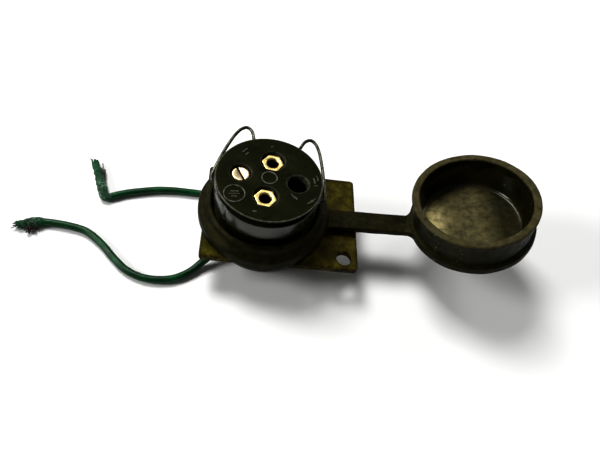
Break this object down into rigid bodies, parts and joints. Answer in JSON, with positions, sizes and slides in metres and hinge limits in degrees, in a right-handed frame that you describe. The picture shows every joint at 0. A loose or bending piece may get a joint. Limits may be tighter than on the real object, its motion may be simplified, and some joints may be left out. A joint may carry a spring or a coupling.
{
  "type": "panel socket outlet",
  "caption": "Two-pole panel socket on a flat mounting plate, with a rubber boot, a tethered dust cap, a wire bail and rear leads.",
  "frame": {"origin": "on the insert's axis, in the plane of the mounting plate's rear face", "axes": "+Z along the insert's axis, out of its face towards the plug; +X along the cap strap, away from the insert; +Y completes the right-handed frame"},
  "size_m": [0.2274, 0.0649, 0.0508],
  "materials": {
    "olive_paint": "worn semi-matt olive paint on steel",
    "black_rubber": "moulded rubber, olive-black, dusty matt with soft sheen",
    "bakelite": "black phenolic moulding, polished sides",
    "brass": "turned brass, lightly tarnished",
    "spring_wire": "drawn spring-steel wire, dull",
    "black_steel": "blackened steel",
    "green_pvc": "green PVC sheath",
    "dark_copper": "oxidised copper strands"
  },
  "bodies": {
    "outlet": {"mounting_plate": "olive_paint", "seal_boot": "black_rubber", "insert_cover": "bakelite", "insert_body": "bakelite", "rear_cover": "bakelite", "cover_screw": "brass", "cover_screw_nut": "black_steel", "retaining_ring": "black_steel", "lead_upper": "green_pvc", "lead_lower": "green_pvc", "lead_end_upper": "green_pvc", "lead_end_lower": "green_pvc", "contact_sleeve_1": "brass", "terminal_washer_1": "brass", "lead_eye_1": "dark_copper", "lock_washer_1": "black_steel", "terminal_nut_1": "brass", "contact_sleeve_2": "brass", "terminal_washer_2": "brass", "lead_eye_2": "dark_copper", "lock_washer_2": "black_steel", "terminal_nut_2": "brass"},
    "strap": {"cap_strap": "black_rubber"},
    "cap": {"dust_cap": "black_rubber"},
    "bail": {"bail_wire": "spring_wire"}
  },
  "joints": [
    {"name": "strap_root", "type": "hinge", "parent": "outlet", "child": "strap", "pos_m": [0.031, -0.0012, 0.0055], "axis": [0, -1, 0], "range_deg": [0, 91.25], "stiffness_Nm_per_rad": 0.12},
    {"name": "strap_cap", "type": "hinge", "parent": "strap", "child": "cap", "pos_m": [0.065, -0.0012, 0.0068], "axis": [0.0105, -0.998, 0.063], "range_deg": [-80, 74.4], "stiffness_Nm_per_rad": 0.12},
    {"name": "bail_swing", "type": "hinge", "parent": "outlet", "child": "bail", "pos_m": [0, 0, 0.019], "axis": [0.993, -0.1184, 0], "range_deg": [-9.5, 170.5]}
  ]
}
